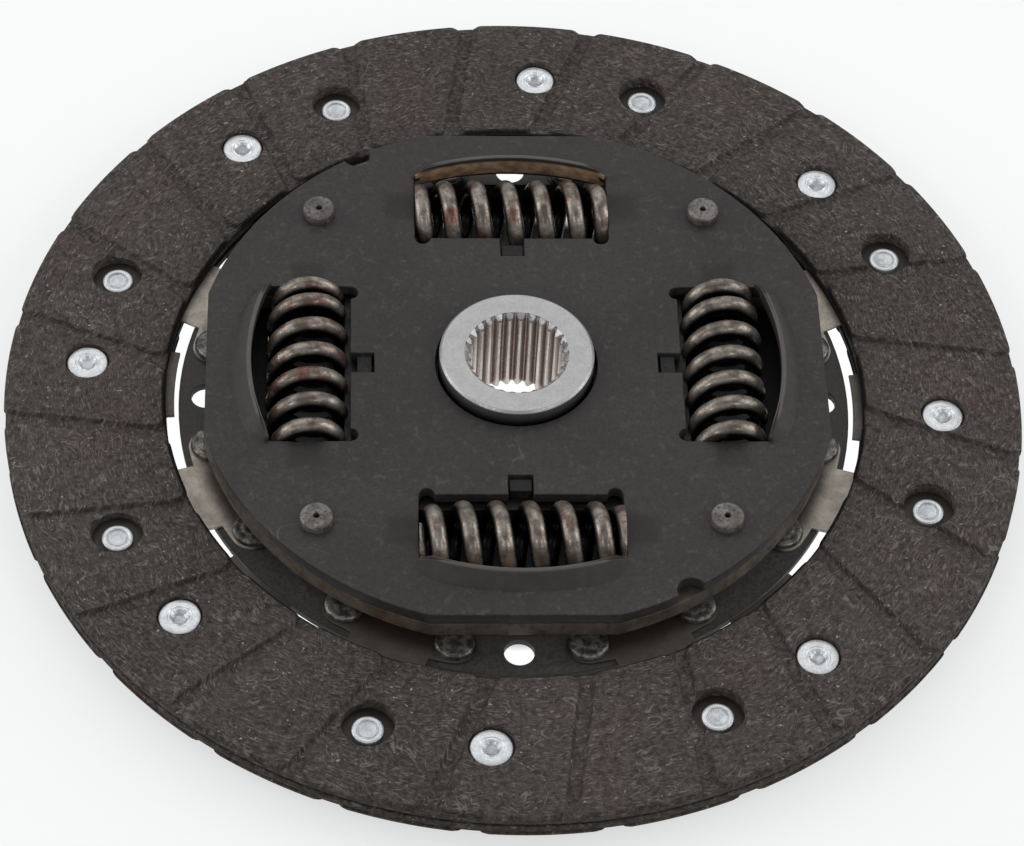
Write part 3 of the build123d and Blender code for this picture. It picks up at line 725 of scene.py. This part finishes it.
def add_turned(name, node, profile, radius, angles, steps, seed, wobble):
    """Turned pieces at places round the hub's axis, from a profile of (radius, height) that starts
    at the axis below and ends on it above. Each has an outline a little off round. How far a vertex
    near the axis lies inside the piece's ends is kept as its attribute hollow, in millimetres."""
    chance = random.Random(seed)
    shape = bmesh.new()
    hollow = shape.verts.layers.float.new("hollow")
    lowest, highest = min(height for _, height in profile), max(height for _, height in profile)
    widest = max(out for out, _ in profile)
    for angle in angles:
        turn = math.radians(angle)
        middle = Vector((radius * math.cos(turn), radius * math.sin(turn), 0))
        waves = [
            (count, chance.uniform(0, math.tau), chance.uniform(0.4, 1.0))
            for count in OUTLINE_WAVES
        ]
        start = chance.uniform(0, math.tau)
        rings = []
        for out, height in profile:
            near_rim = min(1.0, out / widest) ** 3
            ring = []
            for step in range(steps if out else 1):
                along = start + math.tau * step / steps
                swell = sum(size * math.sin(count * along + phase) for count, phase, size in waves)
                reach = out * (1 + wobble * swell * near_rim)
                place = Vector((reach * math.cos(along), reach * math.sin(along), height))
                vertex = shape.verts.new((middle + place) * MM)
                if out < HOLLOW_REACH:
                    vertex[hollow] = min(height - lowest, highest - height)
                ring.append(vertex)
            rings.append(ring)
        for low, high in zip(rings, rings[1:]):
            for step in range(steps):
                after = (step + 1) % steps
                if len(low) == 1:
                    shape.faces.new((low[0], high[after], high[step]))
                elif len(high) == 1:
                    shape.faces.new((low[step], low[after], high[0]))
                else:
                    shape.faces.new((low[step], low[after], high[after], high[step]))
    bmesh.ops.recalc_face_normals(shape, faces=shape.faces)
    add_piece(name, shape, node)


def rivet_profile(tail, head, tail_end, head_top, up):
    """From the tail to the head; up is 1 where the head is above, and else -1."""
    points = [(out, tail_end + up * height) for out, height in tail]
    points += [(out, head_top - up * depth) for out, depth in head]
    return points if up > 0 else points[::-1]


def spacer_pin_profile(bottom, top):
    """From the tail under the drive plate, past the shoulder between the plates, to the head."""
    plate_under = bottom + 2.3
    plate_over = node_box("drive_plate")[1].z
    cover_under, cover_over = top - 5.3, top - 2.3
    return [
        (0, bottom + 1.4), (0.6, bottom + 1.3), (0.7, bottom + 0.1), (1.1, bottom), (3.2, bottom),
        (3.55, bottom + 0.35), (3.6, bottom + 0.8), (3.6, plate_under), (2.75, plate_under),
        (2.75, plate_over), (4.3, plate_over), (4.3, cover_under), (2.75, cover_under),
        (2.75, cover_over), (3.5, cover_over), (3.6, cover_over + 0.3), (3.6, top - 0.7),
        (3.52, top - 0.32), (3.3, top - 0.1), (3.0, top), (2.5, top - 0.02), (2.3, top - 0.12),
        (1.9, top - 0.16), (1.5, top - 0.14), (1.15, top - 0.02), (0.95, top), (0.75, top - 0.12),
        (0.62, top - 0.4), (0.6, top - 1.6), (0, top - 1.7),
    ]


def add_rivets():
    for node, first, up, seed in (
        ("facing_rivets_gearbox_side", GEARBOX_RIVET_ANGLE, 1, 11),
        ("facing_rivets_engine_side", ENGINE_RIVET_ANGLE, -1, 12),
    ):
        low, high = node_box(node)
        ends = (low.z, high.z) if up > 0 else (high.z, low.z)
        profile = rivet_profile(FACING_RIVET_TAIL, FACING_RIVET_HEAD, *ends, up)
        add_turned(node.replace("facing", "turned"), node, profile,
                   BAND_MIDDLE, segment_angles(first), RIVET_STEPS, seed, 0.006)

    low, high = node_box("segment_rivets")
    profile = rivet_profile(FOOT_RIVET_TAIL, FOOT_RIVET_HEAD, low.z, high.z, 1)
    angles = [start + angle for start in segment_angles(0) for angle in FOOT_ANGLES]
    add_turned("turned_segment_rivets", "segment_rivets", profile,
               FOOT_RIVET_CIRCLE, angles, RIVET_STEPS, 13, 0.004)

    low, high = node_box("spacer_pins")
    add_turned("turned_spacer_pins", "spacer_pins", spacer_pin_profile(low.z, high.z),
               PIN_CIRCLE, PIN_ANGLES, PIN_STEPS, 14, 0.006)


# ------------------------ damper springs

# Round wire, wound closer at its ends, which are ground flat. The end coils are a little smaller.
SPRING_COUNT = 4
SPRING_WIRE = 4.1
SPRING_PITCH = 7.15
SPRING_END_PITCH = 4.2
SPRING_END_TURNS = 1.25  # over which the pitch opens out
SPRING_PHASES = (0.29, 0.5, 0.95, 0.26)  # turns from the wire's start to its first top
SPRING_END_INSET = 0.25  # of the wire's middle at its end
SPRING_TAPER = 1.0  # of the end coils' radius
SPRING_TAPER_START = 0.6  # of the half length
SPRING_CUT_TURNS = 0.3  # of wire past each end, which the flat cut takes most of
SPRING_STEPS = 40  # along one turn
WIRE_SIDES = 16
WIRE_SMOOTH_ANGLE = 40.0
LENGTH_ROUNDS = 12  # of finding the turns that fill the length


def spring_line(half_length):
    """Turns and places along the axis of the wire's middle, from end to end."""
    reach = half_length - SPRING_END_INSET
    total = 2 * reach / SPRING_PITCH
    for _ in range(LENGTH_ROUNDS):
        along, turns = [0.0], [0.0]
        count = round(total * SPRING_STEPS)
        for step in range(count):
            at = (step + 0.5) / count * total
            nearest = min(at, total - at)
            open_share = eased(min(1.0, nearest / SPRING_END_TURNS))
            pitch = SPRING_END_PITCH + (SPRING_PITCH - SPRING_END_PITCH) * open_share
            along.append(along[-1] + pitch * total / count)
            turns.append((step + 1) / count * total)
        total += (2 * reach - along[-1]) / SPRING_PITCH
    scale = 2 * reach / along[-1]
    line = [(turn, -reach + place * scale) for turn, place in zip(turns, along)]
    extra = range(1, round(SPRING_CUT_TURNS * SPRING_STEPS) + 1)
    rise = SPRING_END_PITCH / SPRING_STEPS
    before = [(-step / SPRING_STEPS, -reach - step * rise) for step in reversed(extra)]
    after = [(line[-1][0] + step / SPRING_STEPS, reach + step * rise) for step in extra]
    return before + line + after


def wire_shape(path, origin, axis, spring_radius):
    """Wire along a path that winds round an axis. It keeps an attribute for painted shade: 1 on
    its outer, upper side and 0 inside the coils and at the spring's foot, where the shade is
    painted."""
    shape = bmesh.new()
    rubbed_and_lit = shape.verts.layers.float.new("rubbed_and_lit")
    rings = []
    for index, point in enumerate(path):
        ahead = path[min(index + 1, len(path) - 1)] - path[max(index - 1, 0)]
        ahead.normalize()
        centre = origin + axis * (point - origin).dot(axis)
        outer = (point - centre).normalized()
        outer = (outer - ahead * outer.dot(ahead)).normalized()
        side = ahead.cross(outer)
        ring = []
        for step in range(WIRE_SIDES):
            bend = math.tau * step / WIRE_SIDES
            offset = (outer * math.cos(bend) + side * math.sin(bend)) * SPRING_WIRE / 2
            vertex = shape.verts.new((point + offset) * MM)
            # The painted shade's attribute: 0 inside the coils and low down, 1 on the outer, upper
            # side.
            above = min(1.0, max(0.0, 0.5 + (point + offset - centre).z / spring_radius))
            vertex[rubbed_and_lit] = min(1.0, max(0.0, 1.2 * math.cos(bend) - 0.2)) * above
            ring.append(vertex)
        rings.append(ring)
    for before, after in zip(rings, rings[1:]):
        for step in range(WIRE_SIDES):
            following = (step + 1) % WIRE_SIDES
            shape.faces.new((before[step], before[following], after[following], after[step]))
    shape.faces.new(rings[0][::-1])
    shape.faces.new(rings[-1])
    return shape


def cut_flat(shape, place, outwards):
    """Takes off what lies beyond a plane, and closes the cut."""
    cut = bmesh.ops.bisect_plane(
        shape, geom=shape.verts[:] + shape.edges[:] + shape.faces[:],
        plane_co=place * MM, plane_no=outwards, clear_outer=True,
    )
    rim = [edge for edge in cut["geom_cut"] if isinstance(edge, bmesh.types.BMEdge)]
    bmesh.ops.holes_fill(shape, edges=rim)


def add_spring(number):
    node = f"damper_spring_{number + 1}"
    low, high = node_box(node)
    middle = (low + high) / 2
    spans = high - low
    half_length = max(spans.x, spans.y) / 2
    spring_radius = spans.z / 2
    coil_radius = spring_radius - SPRING_WIRE / 2
    turn = math.radians(90 * (number + 1))
    outwards = Vector((math.cos(turn), math.sin(turn), 0))
    axis = Vector((math.sin(turn), -math.cos(turn), 0))
    up = Vector((0, 0, 1))
    origin = outwards * (middle.dot(outwards)) + up * middle.z
    path = []
    for turns, along in spring_line(half_length):
        angle = math.tau * (turns - SPRING_PHASES[number] + 0.25)
        past = (abs(along) / half_length - SPRING_TAPER_START) / (1 - SPRING_TAPER_START)
        reach = coil_radius - SPRING_TAPER * eased(min(1.0, max(0.0, past)))
        spoke = outwards * math.cos(angle) + up * math.sin(angle)
        path.append(origin + axis * along + spoke * reach)
    shape = wire_shape(path, origin, axis, spring_radius)
    for side in (-1, 1):
        cut_flat(shape, origin + axis * side * half_length, axis * side)
    bmesh.ops.recalc_face_normals(shape, faces=shape.faces)
    piece = add_piece(f"wound_spring_{number + 1}", shape, node, WIRE_SMOOTH_ANGLE)
    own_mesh(piece)


# ------------------------ friction facings

# Each is a base ring with pads between slanting grooves, and round holes for the rivets.
GROOVE_COUNT = 24
GROOVE_STEP = 360 / GROOVE_COUNT
GROOVE_WIDTH = 2.4
GROOVE_DEPTH = 1.2
GROOVE_LEAN = 14.3
GEARBOX_GROOVE_ANGLE = 6.5
ENGINE_GROOVE_ANGLE = -4.15
BASE_RADIUS = FACING_RADIUS - 0.4  # of the facing behind its pads
BASE_STEPS = 240
PAD_CORNER = 2.6
PAD_CORNER_STEPS = 6
PAD_CORNER_ROOM = 0.2  # between a rounded corner and the next point of a side
PAD_SIDE_STEPS = 4
PAD_RIM_STEPS = 24
PAD_BORE_STEPS = 18
PAD_SINK = 0.2  # into the base ring
PAD_SLOPE_OUT = 0.3  # how far a pad's foot spreads
PAD_SLOPE_IN = 0.75  # how far its top draws in
PAD_WALL_SHARES = (0.12, 0.35, 0.65, 0.88, 0.97, 1.0)  # of its height, at the wall's rows
PAD_WALL_ROWS = (2, 3, 4, 5)  # that take the groove walls' darker lining, a painted shade
PAD_RIM_INSET = 0.05
HEAD_HOLE = 5.0
HEAD_HOLE_DEPTH = 1.95
SHANK_HOLE = 2.55
ACCESS_HOLE = 5.7
HOLE_STEPS = 48
FACING_WELD = 0.003 * MM


def groove_side_point(radius, side, angle):
    """Where a groove's edge crosses a circle round the hub's axis: side is -1 or 1."""
    lean = math.radians(angle - GROOVE_LEAN)
    along = direction(lean)
    across = Vector((-math.sin(lean), math.cos(lean)))
    start = direction(math.radians(angle)) * BAND_MIDDLE
    start += across * side * GROOVE_WIDTH / 2
    inward = start.dot(along)
    reach = -inward + math.sqrt(inward * inward - start.length_squared + radius * radius)
    return start + along * reach


def rounded_outline(sides, radius):
    """Rounds the corners of an outline, given as sides: lists of points that end on the corners."""
    openings, reaches = [], []
    for index, side in enumerate(sides):
        after = sides[(index + 1) % len(sides)]
        openings.append((side[-2] - side[-1]).angle(after[1] - side[-1]))
        reaches.append(radius / math.tan(openings[-1] / 2))
    outline = []
    for index, side in enumerate(sides):
        after = sides[(index + 1) % len(sides)]
        corner = side[-1]
        outline.extend(
            point for point in side[1:-1]
            if (point - side[0]).length > reaches[index - 1] + PAD_CORNER_ROOM
            and (point - corner).length > reaches[index] + PAD_CORNER_ROOM
        )
        back = (side[-2] - corner).normalized()
        on = (after[1] - corner).normalized()
        middle = corner + (back + on).normalized() * (radius / math.sin(openings[index] / 2))
        start = corner + back * reaches[index] - middle
        sweep = math.pi - openings[index]
        for step in range(PAD_CORNER_STEPS + 1):
            bend = sweep * step / PAD_CORNER_STEPS
            outline.append(middle + Vector((
                start.x * math.cos(bend) - start.y * math.sin(bend),
                start.x * math.sin(bend) + start.y * math.cos(bend),
            )))
    return outline


def arc_points(start, end, radius, count):
    """Points on a circle round the hub's axis, the shorter way from start to end."""
    first, last = math.atan2(start.y, start.x), math.atan2(end.y, end.x)
    span = (last - first + math.pi) % math.tau - math.pi
    turns = [first + span * step / count for step in range(count + 1)]
    return [Vector((radius * math.cos(turn), radius * math.sin(turn))) for turn in turns]


def straight_points(start, end):
    return [start.lerp(end, step / PAD_SIDE_STEPS) for step in range(PAD_SIDE_STEPS + 1)]


def pad_outline(angle):
    """One pad, between the groove at this angle and the next one round."""
    low_in, low_out, high_in, high_out = (
        groove_side_point(radius, side, groove)
        for side, groove in ((1, angle), (-1, angle + GROOVE_STEP))
        for radius in (FACING_BORE, FACING_RADIUS)
    )
    return rounded_outline([
        straight_points(low_in, low_out),
        arc_points(low_out, high_out, FACING_RADIUS, PAD_RIM_STEPS),
        straight_points(high_out, high_in),
        arc_points(high_in, low_in, FACING_BORE, PAD_BORE_STEPS),
    ], PAD_CORNER)


def inset_outline(outline, distance):
    """The outline moved inwards; it runs anticlockwise."""
    moved = []
    for index, point in enumerate(outline):
        along = (outline[(index + 1) % len(outline)] - outline[index - 1]).normalized()
        moved.append(point + Vector((-along.y, along.x)) * distance)
    return moved


def inside_rim(point):
    """The point, or the nearest one that keeps a pad's rim inside the facing's radius."""
    return point * min(1.0, (FACING_RADIUS - PAD_RIM_INSET) / point.length)


def add_loops(shape, loops, edge_rows=()):
    """A closed solid from loops of the same count, from the lowest to the highest. The faces in
    edge_rows take the second material."""
    rings = [[shape.verts.new(point * MM) for point in loop] for loop in loops]
    count = len(rings[0])
    for row, (low, high) in enumerate(zip(rings, rings[1:])):
        for step in range(count):
            after = (step + 1) % count
            face = shape.faces.new((low[step], low[after], high[after], high[step]))
            face.material_index = 1 if row in edge_rows else 0
    shape.faces.new(rings[0][::-1])
    shape.faces.new(rings[-1])


def base_ring(at, floor):
    """The facing behind its pads, from the face on the segments up to the grooves' floor."""
    shape = bmesh.new()
    section = [
        (BASE_RADIUS - 0.3, 0.0), (BASE_RADIUS, 0.3), (BASE_RADIUS, floor - 0.15),
        (BASE_RADIUS - 0.15, floor), (FACING_BORE + 0.15, floor), (FACING_BORE, floor - 0.15),
        (FACING_BORE, 0.3), (FACING_BORE + 0.3, 0.0),
    ]
    rings = []
    for step in range(BASE_STEPS):
        turn = math.tau * step / BASE_STEPS
        rings.append([
            shape.verts.new(at(Vector((out * math.cos(turn), out * math.sin(turn))), height) * MM)
            for out, height in section
        ])
    for step in range(BASE_STEPS):
        here, there = rings[step], rings[(step + 1) % BASE_STEPS]
        for index in range(len(section)):
            after = (index + 1) % len(section)
            shape.faces.new((here[index], there[index], there[after], here[after]))
    return shape


def pad_shapes(at, floor, thickness, groove_angle):
    """All the pads, from a little way inside the base ring up to the facing's full thickness."""
    shape = bmesh.new()
    rise = thickness - floor
    rows = [(-PAD_SINK, -PAD_SLOPE_OUT), (0.0, -PAD_SLOPE_OUT)]
    for share in PAD_WALL_SHARES:
        turned = math.acos(1 - 2 * share) / math.pi
        rows.append((rise * share, -PAD_SLOPE_OUT + (PAD_SLOPE_OUT + PAD_SLOPE_IN) * turned))
    for number in range(GROOVE_COUNT):
        outline = pad_outline(groove_angle + number * GROOVE_STEP)
        add_loops(shape, [
            [at(inside_rim(point), floor + height) for point in inset_outline(outline, inset)]
            for height, inset in rows
        ], PAD_WALL_ROWS)
    return shape


def hole_shapes(at, thickness, head_angle, access_angle):
    """The stepped holes of the facing's own rivets, and the wider ones over the tails of the
    other facing's rivets."""
    shape = bmesh.new()
    seat = thickness - HEAD_HOLE_DEPTH
    for first, hole, foot in (
        (head_angle, HEAD_HOLE, [(SHANK_HOLE, -1.0), (SHANK_HOLE, seat), (HEAD_HOLE, seat)]),
        (access_angle, ACCESS_HOLE, [(ACCESS_HOLE, -1.0)]),
    ):
        profile = foot + [
            (hole, thickness - 0.35), (hole + 0.12, thickness - 0.1),
            (hole + 0.4, thickness + 0.02), (hole + 0.4, thickness + 1.0),
        ]
        for angle in segment_angles(first):
            middle = direction(math.radians(angle)) * BAND_MIDDLE
            add_loops(shape, [
                [at(middle + direction(math.tau * step / HOLE_STEPS) * radius, height)
                 for step in range(HOLE_STEPS)]
                for radius, height in profile
            ])
    return shape


def combine(piece, operation, shape):
    """Joins a bmesh to a piece or cuts it from it, and uses the bmesh up."""
    bmesh.ops.recalc_face_normals(shape, faces=shape.faces)
    mesh = bpy.data.meshes.new("tool")
    shape.to_mesh(mesh)
    shape.free()
    mesh.materials.append(looks["friction_lining"])
    mesh.materials.append(groove_shade_lining)
    tool = bpy.data.objects.new("tool", mesh)
    bpy.context.scene.collection.objects.link(tool)
    boolean = piece.modifiers.new(operation, "BOOLEAN")
    boolean.operation = operation
    boolean.solver = "EXACT"
    boolean.object = tool
    apply_modifiers(piece)
    bpy.data.objects.remove(tool)
    bpy.data.meshes.remove(mesh)


def add_facing(name, node, side, groove_angle, head_angle, access_angle):
    """A facing on its segments: side is 1 where its pads face up, and -1 where they face down."""
    low, high = node_box(node)
    back = low.z if side > 0 else high.z
    thickness = abs(high.z - low.z)
    floor = thickness - GROOVE_DEPTH

    def at(point, height):
        return Vector((point.x, point.y, back + side * height))

    base = base_ring(at, floor)
    bmesh.ops.recalc_face_normals(base, faces=base.faces)
    facing = add_piece(name, base, node)
    facing.data.materials.append(groove_shade_lining)
    combine(facing, "UNION", pad_shapes(at, floor, thickness, groove_angle))
    combine(facing, "DIFFERENCE", hole_shapes(at, thickness, head_angle, access_angle))

    clean = bmesh.new()
    clean.from_mesh(facing.data)
    bmesh.ops.remove_doubles(clean, verts=clean.verts, dist=FACING_WELD)
    bmesh.ops.dissolve_degenerate(clean, edges=clean.edges, dist=FACING_WELD)
    clean.to_mesh(facing.data)
    clean.free()
    facing.data.shade_smooth()
    facing.data.set_sharp_from_angle(angle=math.radians(SMOOTH_ANGLE))


# ------------------------ making

for node, width, reshape in (
    ("hub", 0.15, None),
    ("friction_ring_gearbox_side", 0.15, None),
    ("cover_plate", 0.25, soften_cover),
    ("hub_flange", 0.22, widen_flange_windows),
    ("drive_plate", 0.22, widen_plate_windows),
    ("friction_ring_engine_side", 0.1, None),
    ("disc_spring", 0.1, None),
    ("centring_bush", 0.1, None),
):
    add_refined(node, width, reshape)
for number in range(SEGMENT_COUNT):
    add_refined(f"cushion_segment_{number + 1}", 0.12)
add_rivets()
for number in range(SPRING_COUNT):
    add_spring(number)
add_facing("moulded_facing_gearbox_side", "facing_gearbox_side", 1,
           GEARBOX_GROOVE_ANGLE, GEARBOX_RIVET_ANGLE, ENGINE_RIVET_ANGLE)
add_facing("moulded_facing_engine_side", "facing_engine_side", -1,
           ENGINE_GROOVE_ANGLE, ENGINE_RIVET_ANGLE, GEARBOX_RIVET_ANGLE)
for name, piece in frame["nodes"].items():
    piece.data.materials.clear()
    piece.data.materials.append(looks[slots[name]])

add_camera()
add_stage()
